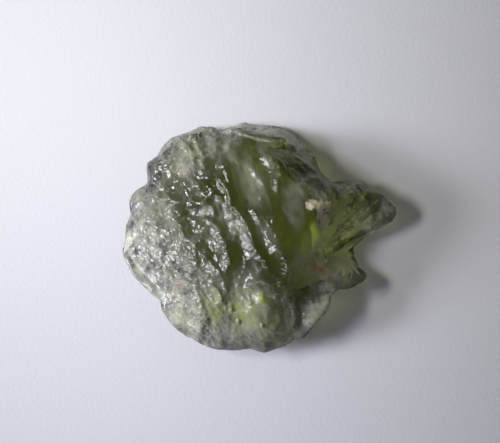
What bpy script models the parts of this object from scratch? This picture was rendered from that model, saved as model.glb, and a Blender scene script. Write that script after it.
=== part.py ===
"""A moldavite: one piece of natural green glass, etched all over.

It is thick towards its upper right and thins to a pale edge at its left, with a long spur and a short
spur on its right side. Terraces cross its top, scalloped hollows cover the rest, and it lies on a small
flat spot. Metres, +Z up. The origin is on the surface that it lies on, below the middle of its box, and
+X points along the long spur. Sizes below are millimetres, and azimuths are degrees from +X to +Y.
"""

import bmesh
import bpy
import numpy as np
from mathutils import Vector, noise

MM = 0.001

# Driving sizes
LENGTH = 30.0  # from the left edge to the long spur's tip
CROWN = 5.0  # how far the top rises over the rim's plane, in the middle
CROWN_LEAN = (0.14, 0.12)  # what the crown gains for each millimetre to the right and up
BELLY = 1.9  # the same below the rim's plane
BELLY_ROUND = 0.008  # what the belly loses for each square millimetre away from the seat
SEAT = (-0.6, 1.0)  # the middle of the flat spot, under the stone's weight
RIM_LEAN = (0.06, -0.10)  # how far the rim's plane rises for each millimetre to the right and up
RIM_WAVE = 0.5  # how far the rim strays from its plane
RIM_WAVE_LENGTH = 5.5
STEEP_RISE = 7.0  # how far inside the rim the top is full height, on the steep side
STEEP_SIDE = np.radians(20)
GENTLE_RISE = 10.0  # the same on the other side
UNDER_RISE = 7.5  # the same underneath
ROUNDING = 2.2  # how round the rise from the rim is: 1 is straight
SPURS_SIDE = np.radians(-25)
SPURS_FROM = 3.8  # how far to that side the body starts to fall off into the spurs
SPURS_OVER = 6.0  # and over what length it does
SPUR_SHARE = 0.14  # of the body's thickness, left at the end of that
FLAT_DEPTH = 0.3  # how much of the belly the flat spot takes off
FLAT_CALM = 5.0  # how far around the seat the underside has shallower hollows
GRAIN = np.radians(-62.0)  # the way the terraces and hollows run, seen from above
TRIANGLES = 9200

# The rim seen from above, anticlockwise from the long spur's tip
RIM = [
    (15.1, 2.9), (14.0, 4.1), (13.2, 4.9), (12.4, 5.3), (11.5, 6.7),
    (10.1, 6.8), (7.9, 6.5), (6.9, 7.4), (6.3, 8.8), (5.8, 10.3),
    (4.7, 11.3), (3.6, 12.3), (1.9, 13.0), (-0.2, 13.2), (-1.9, 13.6),
    (-3.2, 12.9), (-4.4, 12.6), (-5.5, 13.0), (-6.6, 13.2), (-8.0, 12.5),
    (-10.1, 11.6), (-11.4, 10.4), (-11.5, 9.6), (-12.8, 8.7), (-12.7, 7.3),
    (-12.7, 6.4), (-14.3, 5.3), (-14.7, 4.4), (-14.4, 2.8), (-15.1, 1.6),
    (-15.2, 0.2), (-15.5, -1.2), (-14.8, -3.1), (-14.2, -4.0), (-13.0, -5.5),
    (-11.1, -6.8), (-10.9, -7.9), (-10.0, -9.4), (-8.4, -10.9), (-6.4, -12.0),
    (-4.8, -12.4), (-3.7, -12.3), (-2.4, -12.3), (-1.1, -12.3), (0.4, -12.9),
    (2.2, -12.5), (3.6, -11.8), (3.9, -11.3), (4.6, -11.3), (5.9, -9.5),
    (7.2, -8.4), (7.9, -6.8), (8.6, -6.0), (10.2, -5.9), (11.3, -5.2),
    (11.9, -4.5), (11.9, -3.8), (11.0, -3.0), (10.5, -1.5), (10.5, -0.4),
    (11.6, 0.2), (12.8, 0.7), (14.6, 1.7),
]
HUB = (-1.8, 0.0)  # a point inside the rim from which all of it is in sight

# Azimuth from the hub, how wide the thin edge is there before the body rises, half its thickness, and how
# far it stands over the rim's plane
EDGE = [
    (2, 0.2, 0.4, -1.0), (8, 0.2, 0.4, 0.1), (18, 0.2, 0.5, 0.4), (28, 0.2, 0.6, -0.5),
    (45, 0.3, 0.6, -0.4), (65, 0.3, 0.6, -0.4), (90, 0.3, 0.6, 0.0), (115, 0.3, 0.6, 0.1),
    (150, 0.4, 0.6, 0.0), (180, 0.9, 0.55, 0.0), (210, 1.4, 0.6, -0.2), (240, 0.6, 0.65, -0.6),
    (270, 0.3, 0.7, -0.5), (290, 0.6, 0.7, 0.0), (300, 2.2, 0.5, 0.2), (318, 1.8, 0.5, 0.6),
    (330, 0.5, 0.6, 0.6), (339, 0.2, 0.8, -0.3), (347, 0.2, 1.0, -2.3), (355, 0.2, 0.6, -2.0),
]
MIDDLE_EDGE = 0.6  # half the thickness of the edge, carried on to the middle
EDGE_FADES = (0.2, 0.8)  # from the middle to the rim, where the rim's width and thickness take over
LIFT_FADES = (0.6, 1.0)  # the same for its height

# The crests of the terraces, as (points, height, width of the slope on the lit side)
CRESTS = [
    ([(-5.4, 12.0), (-4.9, 10.8), (-4.8, 9.0)], 0.45, 1.3),
    ([(-8.6, 10.8), (-7.7, 9.6), (-7.2, 7.9)], 0.4, 1.0),
    ([(-7.3, 11.0), (-6.7, 9.5), (-6.1, 8.1), (-5.9, 6.8)], 0.45, 1.2),
    ([(-6.5, 6.7), (-5.7, 5.9), (-5.2, 5.2)], 0.35, 0.9),
    ([(-7.6, 4.6), (-6.5, 4.9), (-5.7, 5.1), (-5.1, 4.3), (-5.3, 3.9)], 0.45, 1.4),
    ([(-4.1, 7.2), (-3.7, 6.3), (-3.5, 5.4)], 0.35, 0.8),
    ([(-4.3, 5.5), (-3.7, 4.5), (-3.1, 3.3)], 0.55, 1.1),
    ([(-2.9, 2.4), (-2.1, 1.7), (-1.3, 0.3), (-0.9, -1.0), (-0.5, -2.2), (-0.1, -2.9),
      (0.4, -3.4)], 0.75, 1.3),
    ([(-0.9, 2.2), (-0.5, 1.5), (-0.1, 0.8)], 0.3, 0.8),
    ([(-7.6, 3.3), (-5.9, 3.0), (-5.1, 2.5), (-5.0, 1.9)], 0.55, 1.5),
    ([(-5.2, 0.9), (-4.5, 0.2), (-4.2, -0.7), (-3.7, -1.7), (-3.3, -2.6), (-3.2, -3.5),
      (-3.4, -4.1)], 0.75, 1.7),
    ([(-6.5, 0.7), (-5.8, 0.9), (-5.6, 0.1)], 0.35, 0.9),
    ([(-10.1, 4.0), (-8.9, 3.3), (-8.5, 2.2), (-8.8, 1.6)], 0.5, 1.4),
    ([(-8.6, 0.7), (-8.1, -0.7), (-7.0, -1.5), (-6.7, -3.3), (-6.8, -4.0)], 0.6, 1.7),
    ([(-5.6, -2.8), (-5.0, -3.6), (-4.3, -4.5), (-3.9, -5.3), (-3.7, -6.3)], 0.5, 1.2),
    ([(-4.9, -5.9), (-4.3, -6.6), (-4.2, -7.4)], 0.35, 0.9),
    ([(-8.3, -5.1), (-6.9, -5.8), (-6.5, -6.5), (-6.4, -7.3)], 0.5, 1.5),
    ([(-6.5, -7.3), (-5.9, -8.6), (-5.8, -9.4), (-6.5, -10.4)], 0.5, 1.5),
    ([(1.1, 7.9), (1.9, 7.1), (2.2, 6.1), (2.0, 5.0)], 0.4, 1.4),
    ([(1.9, -2.3), (2.5, -3.3), (2.9, -4.1), (2.9, -5.3)], 0.4, 1.0),
    ([(2.2, -5.6), (2.8, -6.4), (2.7, -7.2), (3.3, -7.6), (3.5, -8.5), (3.4, -10.0)], 0.7, 1.2),
    ([(4.8, 5.0), (6.0, 5.0), (7.2, 4.3), (7.2, 3.0)], 0.45, 1.6),
    ([(-1.1, -5.9), (0.1, -5.5), (1.0, -5.8), (1.6, -6.6)], 0.45, 1.0),
    ([(-3.6, 12.0), (-2.1, 11.1), (-0.6, 10.4), (1.2, 10.1), (2.6, 10.4), (4.2, 10.1),
      (5.8, 9.4)], 0.4, 1.2),
    ([(7.6, 5.7), (8.4, 5.0), (9.3, 4.1), (10.1, 4.6), (10.8, 5.8)], 0.35, 1.0),
    ([(4.1, -7.6), (5.8, -7.5), (7.3, -7.5)], 0.35, 1.2),
]
LIP = 0.5  # how fast the ground falls off behind a crest
SLOPE_HOLLOW = 1.3  # how hollow the slope up to a crest is: 1 is straight
NEAR = 8  # how much more the nearest stretch of the rim counts than the others
NEAR_POINTS = 16  # about how many of the rim's points are equally near
EDGE_SMOOTH = 4  # degrees that the edge's changes are eased over
EDGE_NOSE = 10  # how blunt the edge is

# Broad hollows and lumps of the top, as (middle, radius along the grain, radius across it, height)
LUMPS = [
    ((0.2, 4.3), 3.0, 1.7, -0.30),
    ((3.8, 2.7), 2.0, 1.5, -0.25),
    ((6.2, -1.6), 1.5, 1.4, -0.60),
    ((4.7, 1.6), 1.0, 0.9, -0.40),
    ((8.9, 1.0), 0.9, 0.8, -0.35),
    ((9.4, 5.5), 1.4, 1.3, -0.90),
    ((5.4, 6.2), 2.0, 1.5, 0.70),
    ((3.6, 9.4), 1.7, 1.7, -0.50),
    ((11.1, 2.4), 2.4, 1.0, 0.30),
    ((0.4, -9.1), 2.8, 2.4, 0.55),
    ((-11.9, -4.4), 2.2, 1.6, -0.25),
    ((-2.4, -6.9), 2.2, 1.4, -0.30),
    ((9.2, -4.0), 1.4, 1.0, 0.25),
    ((-12.6, 1.6), 1.8, 1.4, 0.20),
    ((-10.9, 5.8), 0.45, 0.45, 0.35),
    ((-11.4, 4.4), 0.5, 0.5, 0.40),
    ((-12.1, 9.1), 0.9, 0.7, 0.25),
    ((-4.3, 3.4), 0.45, 0.4, 0.35),
]

# Scalloped hollows with sharp rims, as (spacing, depth, how much longer than wide)
TOP_HOLLOWS = [(2.6, 0.42, 1.9), (1.35, 0.24, 1.7)]
UNDER_HOLLOWS = [(3.6, 0.80, 1.4), (1.9, 0.38, 1.5), (1.2, 0.16, 1.2)]
HOLLOW_SIDES = 1.6  # how far a hollow's sides rise, over its depth
HOLLOW_MIDDLE = 0.55  # how far its middle sinks, over its depth
CALM = (5.0, 2.5, 5.6)  # the smoother ground on the top: its middle, and its radius
CALM_SHARE = 0.45  # of the usual depth of the hollows there
EDGE_CALM = 0.5  # what the sculpture loses on the thin edge
SEAM = 0.12  # over how much of the unit sphere's height the top's sculpture passes into the underside's
SWELL = (0.5, 6.0)  # the height and spacing of the broad swells


def ease(t):
    """0 below 0, 1 above 1, and a smooth rise between."""
    t = np.clip(t, 0.0, 1.0)
    return t * t * (3.0 - 2.0 * t)


def round_table(table, smooth):
    """A value for each degree of azimuth from (azimuth, value) pairs, eased over some degrees."""
    azimuths, values = np.array(sorted(table), float).T
    each = np.interp(np.arange(360), azimuths, values, period=360)
    window = np.hanning(2 * smooth + 3)
    wrapped = np.concatenate([each[-smooth - 1 :], each, each[: smooth + 1]])
    return np.convolve(wrapped, window / window.sum(), "valid")


def at_azimuth(each_degree, azimuth):
    return np.interp(np.degrees(azimuth) % 360, np.arange(360), each_degree, period=360)


def soft_noise(points, spacing):
    """Gentle ups and downs between about -0.7 and 0.7."""
    return np.array([noise.noise(Vector(p) / spacing) for p in points])


def rim_reach():
    """The rim's distance from the hub for each degree of azimuth."""
    points = np.array(RIM) - HUB
    azimuths = np.degrees(np.arctan2(points[:, 1], points[:, 0])) % 360
    return round_table(zip(azimuths, np.hypot(*points.T)), 1)


def rim_line():
    """The rim as a ring of points, one for each degree of azimuth from the hub."""
    azimuth = np.radians(np.arange(360))
    reach = rim_reach()
    return np.stack([HUB[0] + reach * np.cos(azimuth), HUB[1] + reach * np.sin(azimuth)], axis=1)


def inside_rim(plan):
    """How far each point is inside the rim, without creases where two stretches are equally near."""
    rim = rim_line()
    total = np.zeros(len(plan))
    for point in rim:
        total += (((plan - point) ** 2).sum(1) + 1e-9) ** (-NEAR / 2)
    depth = total ** (-1 / NEAR)
    return depth * (len(rim) / NEAR_POINTS) ** (1 / NEAR)


def edge_at(azimuth):
    """The edge's width, half thickness and height over the rim's plane."""
    where, *columns = zip(*EDGE)
    return [at_azimuth(round_table(zip(where, column), EDGE_SMOOTH), azimuth) for column in columns]


def risen(depth, rise):
    """How much of its full height the body has at some depth inside the edge."""
    return 1 - (1 - np.clip(depth / rise, 0, 1)) ** ROUNDING


def lens(directions):
    """Carries points of the unit sphere to the stone's plain form, without its sculpture."""
    x, y, z = directions.T
    azimuth = np.arctan2(y, x)
    out = np.arccos(np.clip(np.abs(z), 0, 1)) / (np.pi / 2)  # 0 in the middle and 1 on the rim
    reach = out * at_azimuth(rim_reach(), azimuth)
    plan = np.stack([HUB[0] + reach * np.cos(azimuth), HUB[1] + reach * np.sin(azimuth)], axis=1)

    near_rim = ease((out - EDGE_FADES[0]) / (EDGE_FADES[1] - EDGE_FADES[0]))
    edge_width, edge_half, edge_lift = edge_at(azimuth)
    edge_width *= near_rim
    edge_half = MIDDLE_EDGE + near_rim * (edge_half - MIDDLE_EDGE)
    edge_lift *= ease((out - LIFT_FADES[0]) / (LIFT_FADES[1] - LIFT_FADES[0]))
    depth = inside_rim(plan) - edge_width
    middle = ease(2 * (1 - out))
    steep = (0.5 + 0.5 * np.cos(azimuth - STEEP_SIDE)) * (1 - middle) + 0.5 * middle
    top = risen(depth, GENTLE_RISE + (STEEP_RISE - GENTLE_RISE) * steep)
    under = risen(depth, UNDER_RISE)

    to_spurs = plan @ np.array([np.cos(SPURS_SIDE), np.sin(SPURS_SIDE)])
    share = 1 - (1 - SPUR_SHARE) * ease((to_spurs - SPURS_FROM) / SPURS_OVER)
    crown = share * (CROWN + plan @ np.array(CROWN_LEAN))
    from_seat = plan - SEAT
    belly = share * (BELLY + from_seat @ np.array(RIM_LEAN) - BELLY_ROUND * (from_seat**2).sum(1))
    edge = edge_half * np.sqrt(1 - out**EDGE_NOSE)
    height = np.where(z >= 0, edge + crown * top, -edge - belly * under)
    level = np.stack([*plan.T, 0 * out], axis=1)
    rim = plan @ np.array(RIM_LEAN) + edge_lift + RIM_WAVE * out**3 * soft_noise(level, RIM_WAVE_LENGTH)
    return np.stack([*plan.T, rim + height], axis=1), out


def from_crest(points, line):
    """For each point, its distance from a line of points and which side it lies on: 1 is behind it."""
    nearest = np.full(len(points), np.inf)
    side = np.ones(len(points))
    for start, end in zip(np.array(line[:-1]), np.array(line[1:])):
        along = end - start
        share = np.clip(((points - start) @ along) / (along @ along), 0, 1)
        gap = points - start - share[:, None] * along
        distance = np.hypot(*gap.T)
        nearer = distance < nearest
        turn = along[0] * (points[:, 1] - start[1]) - along[1] * (points[:, 0] - start[0])
        side = np.where(nearer, np.where(turn > 0, 1.0, -1.0), side)
        nearest = np.minimum(nearest, distance)
    return nearest, side


def terraces(points):
    """Steps of the top: a slope on the lit side up to a sharp crest, and a short drop behind it."""
    height = np.zeros(len(points))
    for line, rise, slope in CRESTS:
        distance, side = from_crest(points, line)
        lit = np.clip(1 - distance / slope, 0, 1) ** SLOPE_HOLLOW
        behind = np.exp(-((distance / LIP) ** 2))
        height = np.maximum(height, rise * np.where(side > 0, behind, lit))
    return height


def lumps(points):
    height = np.zeros(len(points))
    along = np.array([np.cos(GRAIN), np.sin(GRAIN)])
    across = np.array([-along[1], along[0]])
    for middle, length, width, rise in LUMPS:
        gap = points - middle
        height += rise * np.exp(-((gap @ along / length) ** 2) - (gap @ across / width) ** 2)
    return height


def hollows(points, layers, seed):
    """Rounded hollows that meet in sharp rims, longer along the grain."""
    depth = np.zeros(len(points))
    for number, (spacing, deep, long) in enumerate(layers):
        offset = Vector((seed + 17.0 * number, 5.0 * seed, 0.0))
        turn_x = points[:, 0] * np.cos(GRAIN) + points[:, 1] * np.sin(GRAIN)
        turn_y = -points[:, 0] * np.sin(GRAIN) + points[:, 1] * np.cos(GRAIN)
        cells = np.stack([turn_x / long, turn_y, points[:, 2]], axis=1) / spacing
        nearest = np.array([noise.voronoi(Vector(c) + offset)[0][0] for c in cells])
        depth += deep * (nearest**2 * HOLLOW_SIDES - HOLLOW_MIDDLE)
    return depth


def sculpted(points, normals, up, out):
    """The plain form with its terraces, lumps and hollows, raised along its normals."""
    plan = points[:, :2]
    calm = np.exp(-(((plan - CALM[:2]) ** 2).sum(1)) / CALM[2] ** 2)
    share = 1 - (1 - CALM_SHARE) * calm
    above = terraces(plan) + lumps(plan) + share * hollows(points, TOP_HOLLOWS, 3.0)
    near_flat = np.exp(-((plan - SEAT) ** 2).sum(1) / FLAT_CALM**2)
    below = hollows(points, UNDER_HOLLOWS, 11.0) * (1 - near_flat)
    inside = 1 - EDGE_CALM * ease((out - EDGE_FADES[1]) / (1 - EDGE_FADES[1]))
    is_top = ease(0.5 + up / SEAM)
    swell = SWELL[0] * soft_noise(points, SWELL[1])
    relief = below + (above - below) * is_top + swell * (1 - near_flat * (1 - is_top))
    return points + normals * (relief * inside)[:, None]


def stone_mesh():
    """The sculpted stone in millimetres, on a fine even net of triangles."""
    net = bmesh.new()
    bmesh.ops.create_icosphere(net, subdivisions=7, radius=1.0)
    mesh = bpy.data.meshes.new("moldavite")
    net.to_mesh(mesh)
    net.free()
    directions = np.empty(len(mesh.vertices) * 3)
    mesh.vertices.foreach_get("co", directions)
    directions = directions.reshape(-1, 3)
    points, out = lens(directions)
    mesh.vertices.foreach_set("co", points.ravel())
    mesh.update()
    normals = np.array([v.normal for v in mesh.vertices])
    points = sculpted(points, normals, directions[:, 2], out)
    mesh.vertices.foreach_set("co", points.ravel())
    mesh.update()
    return mesh


def with_fewer_triangles(mesh):
    """The same stone with its triangles where the surface bends."""
    fine = bpy.data.objects.new("fine_stone", mesh)
    bpy.context.scene.collection.objects.link(fine)
    fewer = fine.modifiers.new("fewer", "DECIMATE")
    fewer.ratio = TRIANGLES / len(mesh.polygons)
    graph = bpy.context.evaluated_depsgraph_get()
    made = bpy.data.meshes.new_from_object(fine.evaluated_get(graph))
    bpy.data.objects.remove(fine)
    return made


def leave_largest(net):
    """Takes away what is not joined to the largest piece, such as pits that the flat cut shuts off."""
    left = set(net.verts)
    pieces = []
    while left:
        piece = set()
        reached = [left.pop()]
        while reached:
            here = reached.pop()
            piece.add(here)
            near = {edge.other_vert(here) for edge in here.link_edges} & left
            left -= near
            reached += near
        pieces.append(piece)
    pieces.sort(key=len)
    for piece in pieces[:-1]:
        bmesh.ops.delete(net, geom=list(piece), context="VERTS")


def stand_on_flat_spot(mesh):
    """Cuts the flat spot, and moves the stone so that the origin is under the middle of its box."""
    net = bmesh.new()
    net.from_mesh(mesh)
    lowest = min(v.co.z for v in net.verts)
    bmesh.ops.bisect_plane(
        net,
        geom=net.verts[:] + net.edges[:] + net.faces[:],
        plane_co=(0, 0, lowest + FLAT_DEPTH),
        plane_no=(0, 0, -1),
        clear_outer=True,
        dist=1e-5,
    )
    leave_largest(net)
    bmesh.ops.holes_fill(net, edges=[edge for edge in net.edges if edge.is_boundary], sides=0)
    low = np.min([v.co for v in net.verts], axis=0)
    high = np.max([v.co for v in net.verts], axis=0)
    middle = (low + high) / 2
    bmesh.ops.translate(net, verts=net.verts, vec=(-middle[0], -middle[1], -low[2]))
    size = LENGTH / (high[0] - low[0]) * MM
    bmesh.ops.scale(net, verts=net.verts, vec=(size, size, size))
    bmesh.ops.recalc_face_normals(net, faces=net.faces)
    net.to_mesh(mesh)
    net.free()


def glass():
    """Clear olive green glass."""
    material = bpy.data.materials.new("moldavite_glass")
    material.use_nodes = True
    shader = material.node_tree.nodes["Principled BSDF"]
    shader.inputs["Base Color"].default_value = (0.29, 0.33, 0.11, 1.0)
    shader.inputs["Roughness"].default_value = 0.12
    shader.inputs["IOR"].default_value = 1.49
    shader.inputs["Transmission Weight"].default_value = 0.6
    return material


def main():
    for old in list(bpy.data.objects):
        bpy.data.objects.remove(old, do_unlink=True)
    group = bpy.data.collections.new("moldavite")
    bpy.context.scene.collection.children.link(group)
    mesh = with_fewer_triangles(stone_mesh())
    stand_on_flat_spot(mesh)
    mesh.materials.append(glass())
    stone = bpy.data.objects.new("moldavite", mesh)
    group.objects.link(stone)


main()
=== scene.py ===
"""The looks of a rough moldavite lying on a pale floor, lit from the left."""

import math

import bmesh
import bpy
import numpy as np
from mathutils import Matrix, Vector, noise
from mathutils.bvhtree import BVHTree


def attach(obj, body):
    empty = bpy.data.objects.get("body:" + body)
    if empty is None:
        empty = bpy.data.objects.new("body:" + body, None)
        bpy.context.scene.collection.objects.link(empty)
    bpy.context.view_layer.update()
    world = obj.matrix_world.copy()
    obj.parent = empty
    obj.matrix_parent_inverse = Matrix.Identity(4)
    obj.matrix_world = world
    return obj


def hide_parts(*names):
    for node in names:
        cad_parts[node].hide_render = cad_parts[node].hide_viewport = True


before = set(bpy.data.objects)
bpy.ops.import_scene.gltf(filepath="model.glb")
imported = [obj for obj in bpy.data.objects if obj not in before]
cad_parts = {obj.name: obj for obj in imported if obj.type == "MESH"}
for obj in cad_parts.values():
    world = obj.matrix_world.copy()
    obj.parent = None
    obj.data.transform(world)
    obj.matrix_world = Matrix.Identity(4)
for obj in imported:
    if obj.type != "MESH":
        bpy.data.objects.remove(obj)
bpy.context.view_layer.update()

# The stone's shapes are in millimetres from the frame's origin, and what stands around it is in metres.
MM = 0.001
GRAIN = math.radians(-62.0)  # the way the terraces run, seen from above

# The fine mesh
NET = 0.108  # between its points
ROUNDING = 3  # rounds of smoothing that take the solid's facets off
ROUNDING_SHARE = 0.5
TRIANGLES = 182000  # asked for, all of the saving being made underneath; the top alone keeps more
UNDER_TURN = -0.15  # the underside is where the surface faces further down than this
TOP_RISE = 2.5  # how fast the top's sculpture starts where the surface turns up

# Fine hollows with sharp rims, as (spacing, depth, how much longer than wide)
FINE_HOLLOWS = [(1.25, 0.17, 1.6), (0.66, 0.13, 1.5), (0.38, 0.08, 1.4)]
HOLLOW_SIDES = 1.6  # how far a hollow's sides rise, over its depth
HOLLOW_MIDDLE = 0.5  # how far its middle sinks, over its depth
GROOVES = (0.42, 0.05, 5.0)
GROOVE_TOP = 0.5  # the height between two grooves, over their depth
GROOVE_SIDES = 2.0  # how steeply they fall from there
THIN = 1.8  # the fine sculpture fades out where the stone is thinner than this

# Smoother ground on the top, as (middle, radius, share of the hollows that is left)
SMOOTH_GROUND = [
    ((5.5, 2.0), 6.0, 0.3), ((0.5, -9.0), 4.5, 0.25), ((6.0, -8.5), 2.5, 0.3), ((1.0, 12.0), 3.0, 0.4),
    ((-0.5, 2.5), 5.0, 0.6), ((-0.7, 4.8), 2.2, 0.1),
]

# The crests of the terraces on the top, as (points, width of the lit slope)
CRESTS = [
    ([(-5.2, 11.4), (-4.7, 10.3), (-4.6, 8.6)], 1.3),
    ([(-8.3, 10.2), (-7.5, 9.1), (-7.0, 7.5)], 1.0),
    ([(-7.1, 10.5), (-6.5, 9.0), (-5.9, 7.6), (-5.7, 6.4)], 1.2),
    ([(-6.3, 6.2), (-5.6, 5.4), (-5.0, 4.8)], 0.9),
    ([(-7.4, 4.1), (-6.3, 4.5), (-5.5, 4.6), (-4.9, 3.9), (-5.1, 3.5)], 1.4),
    ([(-4.0, 6.7), (-3.5, 5.9), (-3.3, 5.0)], 0.8),
    ([(-4.2, 5.0), (-3.5, 4.1), (-3.0, 2.9)], 1.1),
    ([(-2.8, 2.0), (-1.9, 1.3), (-1.2, -0.1), (-0.8, -1.4), (-0.4, -2.5), (0.1, -3.2), (0.5, -3.8)], 1.3),
    ([(-0.8, 1.8), (-0.3, 1.2), (0.1, 0.4)], 0.8),
    ([(-7.4, 2.9), (-5.7, 2.6), (-4.9, 2.1), (-4.8, 1.5)], 1.5),
    ([(-5.0, 0.5), (-4.4, -0.1), (-4.0, -1.0), (-3.5, -2.0), (-3.2, -3.0), (-3.1, -3.8),
      (-3.3, -4.4)], 1.7),
    ([(-6.3, 0.4), (-5.6, 0.6), (-5.4, -0.3)], 0.9),
    ([(-9.8, 3.5), (-8.7, 2.9), (-8.3, 1.8), (-8.5, 1.3)], 1.4),
    ([(-8.4, 0.4), (-7.9, -1.1), (-6.8, -1.9), (-6.5, -3.7), (-6.6, -4.3)], 1.7),
    ([(-5.4, -3.1), (-4.9, -4.0), (-4.1, -4.8), (-3.7, -5.6), (-3.5, -6.6)], 1.2),
    ([(-4.8, -6.2), (-4.1, -6.8), (-4.0, -7.7)], 0.9),
    ([(-8.1, -5.4), (-6.7, -6.0), (-6.4, -6.8), (-6.3, -7.6)], 1.5),
    ([(-6.4, -7.6), (-5.7, -8.9), (-5.6, -9.6), (-6.3, -10.6)], 1.5),
    ([(1.3, 7.4), (2.0, 6.6), (2.3, 5.7), (2.1, 4.6)], 1.4),
    ([(2.0, -2.6), (2.6, -3.6), (3.0, -4.4), (3.0, -5.6)], 1.0),
    ([(2.3, -5.9), (2.9, -6.6), (2.8, -7.4), (3.4, -7.9), (3.6, -8.8), (3.5, -10.2)], 1.2),
    ([(4.8, 4.7), (6.1, 4.6), (7.2, 3.8), (7.3, 2.6)], 1.6),
    ([(-1.0, -6.2), (0.3, -5.8), (1.1, -6.1), (1.7, -6.9)], 1.0),
]
CREST_LIFT = 0.08  # how far the crests stand out over the solid's
CREST_WIDTH = 0.35
CREST_BREAKS = (0.7, 1.4)  # how much of their lift is kept, and how far a soft noise varies that
LIP = 0.14  # how fast the ground falls off behind a crest
SLOPE_FULL = 1.1  # a little over 1, so that a slope's mark, and with it its painted highlight, is full beside its crest
SLOPE_BREAKS = (0.5, 1.8, 1.2)  # how much of the slopes is kept, and how far a soft and a fine noise vary it
SPECKLED = 0.03  # how much of the lit slopes' grains, bump and painted highlight all of the top has
GRAINS = (0.30, 0.09, 1.9)  # the grains of the lit slopes, as (spacing, height, how much longer than wide)
GRAIN_MIDDLE = 0.5  # how high a grain's middle is, over their height

FROST_AND_PAINTED_LIGHT_WAY = (-0.86, -0.50)  # the way in which the glass gets dull, and pale with painted light on its lit side
FROST_AND_PAINTED_LIGHT_FROM = 4.5  # where that starts, counted that way
FROST_AND_PAINTED_LIGHT_OVER = 8.0
FROST_AND_PAINTED_LIGHT_MOST = 0.7
# Pale light that the lit slopes add to it, a painted highlight
FROST_AND_PAINTED_HIGHLIGHT_ON_SLOPES = 0.05
FROST_AND_PAINTED_LIGHT_KEPT = 0.8  # how much of it is kept where the noises below are even
FROST_AND_PAINTED_LIGHT_NOISES = [(1.2, 0.9, 41.0), (0.5, 0.5, 43.0)]  # as (spacing, strength, seed)

# Pale dull bands along the thin edges, as (line, width, strength)
# Their paleness is painted light: light through the thin glass, on facets that face the light, and a painted
# reflection of the sky on the top band.
PALE_BANDS = [
    ([(-3.4, 11.3), (-2.0, 10.5), (-0.4, 9.8), (1.3, 9.5), (2.7, 9.8), (4.3, 9.5), (5.8, 8.7)], 0.14, 0.8),
    ([(-4.2, 12.0), (-2.0, 12.5), (1.0, 12.2), (3.6, 11.2), (5.4, 9.4)], 1.1, 0.85),
    ([(7.4, 5.6), (8.6, 4.9), (10.0, 5.6)], 0.55, 0.6),
    ([(14.2, 3.2), (14.2, 1.6), (12.6, 0.6)], 0.9, 0.75),
    ([(5.4, -9.2), (6.6, -8.4), (7.3, -6.9)], 1.3, 0.85),
    ([(-13.0, -3.6), (-11.9, -5.2), (-10.6, -6.4)], 1.2, 0.7),
    ([(-3.5, -9.5), (0.0, -10.0), (2.6, -10.4)], 2.8, 0.3),
    ([(-11.0, 9.8), (-9.0, 11.2), (-6.5, 12.4)], 0.7, 0.45),
]
BAND_FADE = 1.5  # how many widths from its line a band has gone

# Painted glow: yellow green places where light shining through the glass is painted, as (middle, radius
# along its own way, radius across it, that way in degrees, strength)
PAINTED_GLOWS = [
    ((0.3, -7.6), 1.6, 0.8, -20.0, 1.0), ((-1.8, -8.8), 3.2, 2.6, -55.0, 0.8),
    ((1.6, -10.2), 2.8, 2.2, 0.0, 0.8), ((-0.9, 5.2), 2.2, 1.0, -65.0, 0.45),
    ((-3.7, 9.0), 2.2, 0.8, -65.0, 0.4), ((-4.6, -8.5), 2.4, 2.2, -60.0, 0.8),
    ((6.6, -9.0), 1.8, 1.4, 40.0, 0.6), ((10.0, -4.9), 1.0, 0.8, 0.0, 0.4),
    ((-2.6, 0.0), 1.6, 0.5, -62.0, 0.4), ((-0.8, 3.6), 1.6, 0.7, -62.0, 0.35),
    ((7.2, 7.6), 1.2, 0.5, -60.0, 0.35), ((9.2, -3.2), 0.9, 0.6, -60.0, 0.4),
    ((-7.0, 9.5), 3.4, 2.6, 30.0, 0.5), ((-8.0, -9.0), 2.4, 1.8, -45.0, 0.5),
]
MOTTLES = (1.8, 0.22, 2.0)  # soft milky mottles all over, of a tone that differs at random, as (spacing, strength, how much longer than wide)
MOTTLE_SPREAD = (0.4, 1.5)  # how common the softer ones are, and how sharply they start
GLOW_KEPT = 0.95  # how much of both kinds is kept where the noise below is even
GLOW_NOISE = (0.8, 0.5, 51.0)  # as (spacing, strength, seed)

# Round beads, as (middle, radius, height)
BEADS = [
    ((-10.55, 5.4), 0.40, 0.26), ((-11.05, 4.05), 0.42, 0.30), ((-9.1, 5.8), 0.28, 0.20),
    ((-4.25, 3.3), 0.30, 0.28), ((-2.6, -1.2), 0.26, 0.24), ((-12.2, 0.7), 0.40, 0.20),
    ((-9.6, -1.2), 0.38, 0.24), ((-8.0, -2.6), 0.34, 0.20), ((-5.4, -5.1), 0.30, 0.22),
    ((-3.0, -8.6), 0.24, 0.20), ((-0.9, -8.0), 0.26, 0.18), ((1.7, -7.4), 0.24, 0.18),
    ((0.3, -10.3), 0.24, 0.18), ((-7.4, -8.6), 0.34, 0.20), ((9.3, -0.2), 0.30, 0.18),
    ((-2.2, -9.8), 0.30, 0.18), ((-10.2, 7.6), 0.40, 0.20), ((-6.2, 5.0), 0.26, 0.18),
]

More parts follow.
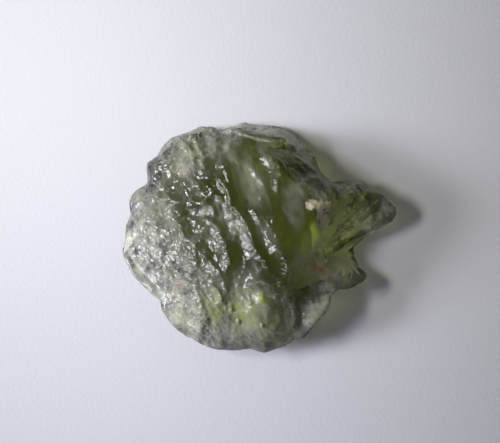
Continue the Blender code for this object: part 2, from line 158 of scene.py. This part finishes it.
# Stains, written as the painted glow places are
BROWN_STAINS = [
    ((6.4, -4.1), 1.7, 0.6, -25.0, 1.0), ((6.7, -2.6), 1.0, 0.8, -60.0, 0.7),
    ((9.0, 0.7), 0.55, 0.5, 0.0, 0.45), ((-8.3, 6.7), 0.9, 0.5, -50.0, 0.6),
    ((-10.0, 8.1), 0.6, 0.4, -30.0, 0.5), ((-8.7, -6.0), 0.9, 0.4, 30.0, 0.6),
    ((-5.5, 1.8), 0.8, 0.5, 10.0, 0.45), ((-7.0, -1.3), 0.5, 0.4, 0.0, 0.3),
    ((-6.4, 7.4), 0.7, 0.2, -60.0, 0.4), ((0.6, -7.9), 0.7, 0.5, 0.0, 0.25),
]
CHIP = [(5.2, 2.3), (6.1, 2.3), (7.2, 2.3), (6.3, 2.1), (6.6, 1.2), (7.0, 0.3)]  # along the rough pale chip
CHIP_WIDTH = 0.36
CHIP_FADE = 1.7  # how many widths from its line it has gone
CHIP_RAGGED = 1.3  # how far a fine noise varies that

# Noises that break up the slopes, the crests and the chip, as (spacing, seed)
SOFT_BREAKS = (1.0, 21.0)
FINE_BREAKS = (0.35, 23.0)
HOLLOWS_SEED = 4.0
GROOVES_SEED = 9.0
GRAINS_SEED = 31.0
MOTTLES_SEED = 53.0

# The glass
IOR = 1.49
SPECULAR = 0.26
DEPTH_COLOUR = (0.52, 0.55, 0.02, 1.0)
DEPTH_DENSITY = 280.0
CLEAR_ROUGHNESS = 0.2
DULL_ROUGHNESS = 0.34
PLAIN = ((1.0, 1.0, 0.97, 1.0), 1.0)  # its colour and how clear it is, where it bears no mark

# The same where a mark is full, each laid over the ones before it
MARKS = {
    # Painted light shining through the glass, with a milky tone that varies at random
    "painted_glow_and_milk": ((0.46, 0.52, 0.05, 1.0), 0.45),
    # Dull glass, with pale painted light on its lit and thin side
    "frost_and_painted_light": ((0.84, 0.84, 0.62, 1.0), 0.45),
    # A painted highlight on the lit slopes: paler and less clear glass
    "painted_highlight": ((0.91, 0.94, 0.66, 1.0), 0.62),
    "stain": ((0.32, 0.19, 0.08, 1.0), 0.3),
    "chip": ((0.75, 0.66, 0.45, 1.0), 0.3),
}

# Grains in the glass's surface, as (how many a metre along each axis, where the pattern is 0, where it is 1)
# The fine grains also break up the painted highlight on the lit slopes, and the coarse ones the frost with
# its painted light.
FINE_GRAINS = ((2600.0, 5600.0, 4200.0), 0.53, 0.60)
COARSE_GRAINS = ((1500.0, 2600.0, 2200.0), 0.40, 0.62)
FROST_AND_PAINTED_LIGHT_BETWEEN = 0.6  # how much of the frost is left between the coarse grains
GRAIN_BUMP = 0.00012
BUMP_STRENGTH = (0.1, 1.0)  # on plain ground, and on the lit slopes

# The floor
FLOOR_SIZE = 1.5
FLOOR_COLOUR = (0.84, 0.84, 0.85, 1.0)
FLOOR_ROUGHNESS = 0.85
TOOTH = 2500.0  # how many grains a metre it has
TOOTH_BUMP = 0.0001
TOOTH_STRENGTH = 0.25

# The lights, as (name, azimuth, elevation, distance, size, power, colour, what it looks at, spread)
LIGHTS = [
    ("window", 187, 46, 0.229, (0.036, 0.028), 0.0060, (0.90, 0.96, 1.0), (-0.026, 0.018, 0.0), 36),
    ("lamp", 173, 46, 0.229, (0.036, 0.028), 0.0060, (1.0, 0.96, 0.76), (-0.026, 0.018, 0.0), 36),
    ("sky", 182, 38, 0.13, (0.11, 0.07), 0.0060, (0.62, 0.59, 1.0), (-0.034, 0.006, 0.0), 31),
    ("low", 183, 24, 0.15, (0.20, 0.04), 0.025, (0.88, 0.90, 1.0), (-0.008, 0.003, 0.0), 25),
]
ROOM_COLOUR = (0.95, 0.93, 0.95, 1.0)
ROOM_STRENGTH = 0.10

# The camera
VIEW_ANGLE = math.radians(20.4)
VIEW_TARGET = Vector((-0.98, 1.45, 2.5)) * MM
VIEW_FROM = (-90, 80, 0.1517)  # azimuth, elevation and distance from the target
NEAREST_SEEN = 0.01


def add(name, mesh):
    piece = bpy.data.objects.new(name, mesh)
    bpy.context.scene.collection.objects.link(piece)
    return piece


def ease(t):
    """0 below 0, 1 above 1, and a smooth rise between."""
    t = np.clip(t, 0.0, 1.0)
    return t * t * (3.0 - 2.0 * t)


def resize(mesh, size):
    mesh.transform(((size, 0, 0, 0), (0, size, 0, 0), (0, 0, size, 0), (0, 0, 0, 1)))


def along_grain(points, long):
    """The points turned so that x runs along the grain, and shortened that way."""
    turned = points.copy()
    turned[:, 0] = (points[:, 0] * math.cos(GRAIN) + points[:, 1] * math.sin(GRAIN)) / long
    turned[:, 1] = -points[:, 0] * math.sin(GRAIN) + points[:, 1] * math.cos(GRAIN)
    return turned


def seeded(points, spacing, seed):
    """The points counted in a spacing, and moved to another part of the noise for each seed."""
    offset = Vector((seed, 2.0 * seed, 3.0 * seed))
    return [Vector(p) / spacing + offset for p in points]


def cells(points, spacing, seed):
    """The distance to the nearest of many scattered points, in their spacing."""
    return np.array([noise.voronoi(p)[0][0] for p in seeded(points, spacing, seed)])


def soft_noise(points, spacing, seed):
    """Gentle ups and downs between about -0.7 and 0.7."""
    return np.array([noise.noise(p) for p in seeded(points, spacing, seed)])


def from_line(plan, line):
    """For each point, its distance from a line of points and which side it lies on: 1 is behind it."""
    nearest = np.full(len(plan), np.inf)
    side = np.ones(len(plan))
    for start, end in zip(np.array(line[:-1]), np.array(line[1:])):
        along = end - start
        share = np.clip(((plan - start) @ along) / (along @ along), 0, 1)
        distance = np.hypot(*(plan - start - share[:, None] * along).T)
        turn = along[0] * (plan[:, 1] - start[1]) - along[1] * (plan[:, 0] - start[0])
        side = np.where(distance < nearest, np.where(turn > 0, 1.0, -1.0), side)
        nearest = np.minimum(nearest, distance)
    return nearest, side


def as_mesh(thing):
    """The mesh that an object's modifiers make; the object itself is removed."""
    graph = bpy.context.evaluated_depsgraph_get()
    made = bpy.data.meshes.new_from_object(thing.evaluated_get(graph))
    bpy.data.objects.remove(thing)
    return made


def fine_mesh(solid):
    """The solid's shape on a fine even net, without its facets, in millimetres."""
    mesh = solid.data.copy()
    resize(mesh, 1 / MM)
    rough = add("rough_stone", mesh)
    net = rough.modifiers.new("net", "REMESH")
    net.mode = "VOXEL"
    net.voxel_size = NET
    rounding = rough.modifiers.new("rounding", "SMOOTH")
    rounding.iterations = ROUNDING
    rounding.factor = ROUNDING_SHARE
    made = as_mesh(rough)
    leave_largest(made)
    return coarser_underneath(made)


def leave_largest(mesh):
    """Takes away all points that are not joined to the largest piece."""
    net = bmesh.new()
    net.from_mesh(mesh)
    left = set(net.verts)
    pieces = []
    while left:
        piece = set()
        reached = {left.pop()}
        while reached:
            piece |= reached
            reached = {edge.other_vert(here) for here in reached for edge in here.link_edges} & left
            left -= reached
        pieces.append(piece)
    pieces.sort(key=len)
    for piece in pieces[:-1]:
        bmesh.ops.delete(net, geom=list(piece), context="VERTS")
    net.to_mesh(mesh)
    net.free()


def coarser_underneath(mesh):
    """The same mesh with far fewer triangles on its underside, which loses its hollows there."""
    whole = add("fine_stone", mesh)
    under = whole.vertex_groups.new(name="under")
    under.add([v.index for v in mesh.vertices if v.normal.z < UNDER_TURN], 1.0, "REPLACE")
    fewer = whole.modifiers.new("fewer", "DECIMATE")
    fewer.ratio = TRIANGLES / (2 * len(mesh.polygons))
    fewer.vertex_group = under.name
    return as_mesh(whole)


def coordinates(mesh):
    values = np.empty(len(mesh.vertices) * 3)
    mesh.vertices.foreach_get("co", values)
    return values.reshape(-1, 3)


def mark(mesh, name, values):
    """Keeps a value for each point, for the material to read."""
    kept = mesh.attributes.new(name, "FLOAT", "POINT")
    kept.data.foreach_set("value", np.clip(values, 0, 1).astype(np.float32))


def lit_slopes(plan):
    """How much each point lies on the lit slope of a terrace, and how far its crest lifts it."""
    slope = np.zeros(len(plan))
    lift = np.zeros(len(plan))
    for line, width in CRESTS:
        distance, side = from_line(plan, line)
        lit = side < 0
        bright = np.where(lit, np.clip(SLOPE_FULL - distance / width, 0, 1), ease(1 - distance / LIP))
        slope = np.maximum(slope, bright)
        edge = np.where(lit, np.clip(1 - distance / CREST_WIDTH, 0, 1), np.exp(-((distance / LIP) ** 2)))
        lift = np.maximum(lift, CREST_LIFT * edge)
    return slope, lift


def beads(plan):
    height = np.zeros(len(plan))
    for middle, radius, rise in BEADS:
        out = ((plan - middle) ** 2).sum(1) / radius**2
        height += rise * np.sqrt(np.clip(1 - out, 0, 1))
    return height


def patches(plan, places):
    """Soft oval patches, each with its own strength."""
    shade = np.zeros(len(plan))
    for middle, long, wide, way, strength in places:
        turn = math.radians(way)
        gap = plan - middle
        along = gap @ (math.cos(turn), math.sin(turn)) / long
        across = gap @ (-math.sin(turn), math.cos(turn)) / wide
        shade = np.maximum(shade, strength * np.exp(-(along**2) - across**2))
    return shade


def frost_and_painted_light(points, slope):
    """How dull the glass is, with pale light painted on it: most to the left and below, on its lit side,
    along the thin edges, and on the lit slopes.
    """
    out = points[:, :2] @ np.array(FROST_AND_PAINTED_LIGHT_WAY) - FROST_AND_PAINTED_LIGHT_FROM
    share = FROST_AND_PAINTED_LIGHT_MOST * ease(out / FROST_AND_PAINTED_LIGHT_OVER)
    for line, width, strength in PALE_BANDS:
        distance, _ = from_line(points[:, :2], line)
        share = np.maximum(share, strength * ease(BAND_FADE - distance / width))
    kept = FROST_AND_PAINTED_LIGHT_KEPT
    for spacing, strength, seed in FROST_AND_PAINTED_LIGHT_NOISES:
        kept = kept + strength * soft_noise(points, spacing, seed)
    return np.maximum(share * kept, FROST_AND_PAINTED_HIGHLIGHT_ON_SLOPES * slope)


def painted_glows_and_milk(points):
    """The painted glow of light shining through the glass in its listed places, and a milky tone in softer
    mottles all over.
    """
    spacing, strength, long = MOTTLES
    common, sharp = MOTTLE_SPREAD
    mottles = strength * ease(common + sharp * soft_noise(along_grain(points, long), spacing, MOTTLES_SEED))
    spacing, strength, seed = GLOW_NOISE
    kept = GLOW_KEPT + strength * soft_noise(points, spacing, seed)
    return np.maximum(patches(points[:, :2], PAINTED_GLOWS), mottles) * kept


def thickness(mesh, points):
    """How thick the stone is at each point, straight up and down."""
    far = 50
    tree = BVHTree.FromPolygons(points.tolist(), [tuple(face.vertices) for face in mesh.polygons])
    thick = np.zeros(len(points))
    for number, (x, y, _) in enumerate(points):
        top = tree.ray_cast((x, y, far), (0, 0, -1))[0]
        low = tree.ray_cast((x, y, -far), (0, 0, 1))[0]
        if top and low:
            thick[number] = top.z - low.z
    return thick


def fine_relief(points, top):
    """The height of the fine hollows and grooves, less on the smooth ground."""
    share = np.ones(len(points))
    for middle, radius, left in SMOOTH_GROUND:
        share -= (1 - left) * share * np.exp(-((points[:, :2] - middle) ** 2).sum(1) / radius**2) * top
    height = np.zeros(len(points))
    for number, (spacing, deep, long) in enumerate(FINE_HOLLOWS):
        near = cells(along_grain(points, long), spacing, HOLLOWS_SEED + number)
        height += deep * (near**2 * HOLLOW_SIDES - HOLLOW_MIDDLE)
    spacing, deep, long = GROOVES
    across = np.abs(soft_noise(along_grain(points, long), spacing, GROOVES_SEED))
    height += deep * (GROOVE_TOP - GROOVE_SIDES * across)
    return height * share


def etch(mesh):
    """Raises the fine sculpture on the net, and marks where its materials change."""
    points = coordinates(mesh)
    normals = np.array([v.normal for v in mesh.vertices])
    plan = points[:, :2]
    top = ease(normals[:, 2] * TOP_RISE)
    slope, lift = lit_slopes(plan)
    fine = soft_noise(points, *FINE_BREAKS)
    soft = soft_noise(points, *SOFT_BREAKS)
    kept, by_soft, by_fine = SLOPE_BREAKS
    slope *= top * ease(kept + by_soft * soft + by_fine * fine)
    kept, by_soft = CREST_BREAKS
    lift *= ease(kept + by_soft * soft)
    slope = np.maximum(slope, SPECKLED * top)
    chip_distance, _ = from_line(plan, CHIP)
    chip = ease(CHIP_FADE - chip_distance / CHIP_WIDTH + CHIP_RAGGED * fine) * top

    height = fine_relief(points, top)
    spacing, tall, long = GRAINS
    rough = GRAIN_MIDDLE - cells(along_grain(points, long), spacing, GRAINS_SEED)
    height += tall * rough * np.maximum(slope, chip) + top * (lift + beads(plan))
    height *= ease(thickness(mesh, points) / THIN)
    points += normals * height[:, None]
    points[:, 2] = np.maximum(points[:, 2], 0.0)
    mesh.vertices.foreach_set("co", points.ravel())
    mesh.update()
    mark(mesh, "slope", slope)
    mark(mesh, "chip", chip)
    mark(mesh, "stain", patches(plan, BROWN_STAINS) * top)
    # Painted glow of light shining through the glass, with random milky mottles
    mark(mesh, "painted_glow_and_milk", painted_glows_and_milk(points) * top)
    # Dull frost, with pale light painted on the lit, thin side and on the lit slopes
    mark(mesh, "frost_and_painted_light", frost_and_painted_light(points, slope) * top)


def node(tree, kind, **values):
    made = tree.nodes.new(kind)
    for name, value in values.items():
        setattr(made, name, value)
    return made


def reading(tree, name):
    return node(tree, "ShaderNodeAttribute", attribute_name=name).outputs["Fac"]


def mix(tree, share, first, second):
    """Mixes two numbers, or two colours given as four numbers; each may be an output instead."""
    is_colour = any(isinstance(v, tuple) for v in (first, second))
    made = node(tree, "ShaderNodeMix", data_type="RGBA" if is_colour else "FLOAT")
    kind = "Color" if is_colour else "Float"
    ends = [s for s in made.inputs if s.identifier in (f"A_{kind}", f"B_{kind}")]
    for socket, value in zip([made.inputs[0]] + ends, (share, first, second)):
        if isinstance(value, bpy.types.NodeSocket):
            tree.links.new(value, socket)
        else:
            socket.default_value = value
    return next(s for s in made.outputs if s.identifier == f"Result_{kind}")


def grains(tree, scale, low, high):
    """Small grains stretched along the terraces, as a pattern from 0 to 1 and as heights."""
    place = node(tree, "ShaderNodeTexCoord")
    way = node(tree, "ShaderNodeMapping")
    way.inputs["Rotation"].default_value = (0.0, 0.0, -GRAIN)
    way.inputs["Scale"].default_value = scale
    tree.links.new(place.outputs["Object"], way.inputs["Vector"])
    pattern = node(tree, "ShaderNodeTexNoise")
    pattern.inputs["Scale"].default_value = 1.0
    pattern.inputs["Detail"].default_value = 2.0
    tree.links.new(way.outputs["Vector"], pattern.inputs["Vector"])
    steps = node(tree, "ShaderNodeMapRange", interpolation_type="SMOOTHSTEP")
    steps.inputs["From Min"].default_value = low
    steps.inputs["From Max"].default_value = high
    tree.links.new(pattern.outputs["Fac"], steps.inputs["Value"])
    return steps.outputs["Result"], pattern.outputs["Fac"]


def raised(tree, shader, heights, strength, distance):
    """Gives the shader a bump; its strength is a number or an output."""
    bump = node(tree, "ShaderNodeBump")
    bump.inputs["Distance"].default_value = distance
    if isinstance(strength, bpy.types.NodeSocket):
        tree.links.new(strength, bump.inputs["Strength"])
    else:
        bump.inputs["Strength"].default_value = strength
    tree.links.new(heights, bump.inputs["Height"])
    tree.links.new(bump.outputs["Normal"], shader.inputs["Normal"])


def new_material(name):
    material = bpy.data.materials.new(name)
    material.use_nodes = True
    return material, material.node_tree, material.node_tree.nodes["Principled BSDF"]


def glass():
    """Clear olive glass, deeper in colour where it is thicker, with a fine grain and a painted highlight on
    its lit slopes, painted glow where light shines through, and pale painted light on its lit, thin side.
    """
    material, tree, shader = new_material("moldavite_glass")
    shader.inputs["IOR"].default_value = IOR
    shader.inputs["Specular IOR Level"].default_value = SPECULAR

    fine, heights = grains(tree, *FINE_GRAINS)
    coarse, _ = grains(tree, *COARSE_GRAINS)
    slope = reading(tree, "slope")
    frosted_and_painted_light = reading(tree, "frost_and_painted_light")
    between = mix(tree, frosted_and_painted_light, 0.0, FROST_AND_PAINTED_LIGHT_BETWEEN)
    # These shares paint glow where light shines through, pale light on the lit thin side and highlights on
    # the lit slopes; the stain and the chip are the glass's own colour.
    shares = {
        "painted_glow_and_milk": reading(tree, "painted_glow_and_milk"),
        "frost_and_painted_light": mix(tree, coarse, between, frosted_and_painted_light),
        "painted_highlight": mix(tree, fine, 0.0, slope),
        "stain": reading(tree, "stain"),
        "chip": reading(tree, "chip"),
    }
    raised(tree, shader, heights, mix(tree, slope, *BUMP_STRENGTH), GRAIN_BUMP)

    tint, clear = PLAIN
    for name, (full_tint, full_clear) in MARKS.items():
        tint = mix(tree, shares[name], tint, full_tint)
        clear = mix(tree, shares[name], clear, full_clear)
    roughness = mix(tree, shares["frost_and_painted_light"], CLEAR_ROUGHNESS, DULL_ROUGHNESS)
    tree.links.new(tint, shader.inputs["Base Color"])
    tree.links.new(roughness, shader.inputs["Roughness"])
    tree.links.new(clear, shader.inputs["Transmission Weight"])

    depth = node(tree, "ShaderNodeVolumeAbsorption")
    depth.inputs["Color"].default_value = DEPTH_COLOUR
    depth.inputs["Density"].default_value = DEPTH_DENSITY
    tree.links.new(depth.outputs["Volume"], tree.nodes["Material Output"].inputs["Volume"])
    return material


def pale_matt():
    """The floor's material, with a fine tooth."""
    material, tree, shader = new_material("pale_matt")
    shader.inputs["Base Color"].default_value = FLOOR_COLOUR
    shader.inputs["Roughness"].default_value = FLOOR_ROUGHNESS
    place = node(tree, "ShaderNodeTexCoord")
    tooth = node(tree, "ShaderNodeTexNoise")
    tooth.inputs["Scale"].default_value = TOOTH
    tooth.inputs["Detail"].default_value = 4.0
    tree.links.new(place.outputs["Object"], tooth.inputs["Vector"])
    raised(tree, shader, tooth.outputs["Fac"], TOOTH_STRENGTH, TOOTH_BUMP)
    return material


def stone():
    mesh = fine_mesh(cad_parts["moldavite"])
    etch(mesh)
    resize(mesh, MM)
    mesh.materials.clear()
    mesh.materials.append(glass())
    for face in mesh.polygons:
        face.use_smooth = True
    piece = add("etched_stone", mesh)
    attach(piece, "root")
    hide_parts("moldavite")


def floor():
    mesh = bpy.data.meshes.new("floor")
    sheet = bmesh.new()
    bmesh.ops.create_grid(sheet, x_segments=1, y_segments=1, size=FLOOR_SIZE)
    sheet.to_mesh(mesh)
    sheet.free()
    mesh.materials.append(pale_matt())
    add("floor", mesh)


def from_angle(azimuth, elevation, distance):
    a, e = math.radians(azimuth), math.radians(elevation)
    return Vector((math.cos(a) * math.cos(e), math.sin(a) * math.cos(e), math.sin(e))) * distance


def aim(thing, target):
    thing.rotation_euler = (Vector(target) - thing.location).to_track_quat("-Z", "Y").to_euler()


def panel(name, azimuth, elevation, distance, size, power, colour, target, spread):
    """A soft light that looks at a point on the floor."""
    light = bpy.data.lights.new(name, "AREA")
    light.shape = "RECTANGLE"
    light.size, light.size_y = size
    light.energy = power
    light.color = colour
    light.spread = math.radians(spread)
    thing = add(name, light)
    thing.location = from_angle(azimuth, elevation, distance)
    aim(thing, target)


def studio():
    for light in LIGHTS:
        panel(*light)
    world = bpy.data.worlds.new("room")
    bpy.context.scene.world = world
    world.use_nodes = True
    background = world.node_tree.nodes["Background"]
    background.inputs["Color"].default_value = ROOM_COLOUR
    background.inputs["Strength"].default_value = ROOM_STRENGTH


def camera():
    lens = bpy.data.cameras.new("camera")
    lens.angle = VIEW_ANGLE
    lens.clip_start = NEAREST_SEEN
    thing = add("camera", lens)
    thing.location = VIEW_TARGET + from_angle(*VIEW_FROM)
    aim(thing, VIEW_TARGET)
    bpy.context.scene.camera = thing


stone()
floor()
studio()
camera()
bpy.context.scene.view_settings.view_transform = "Standard"
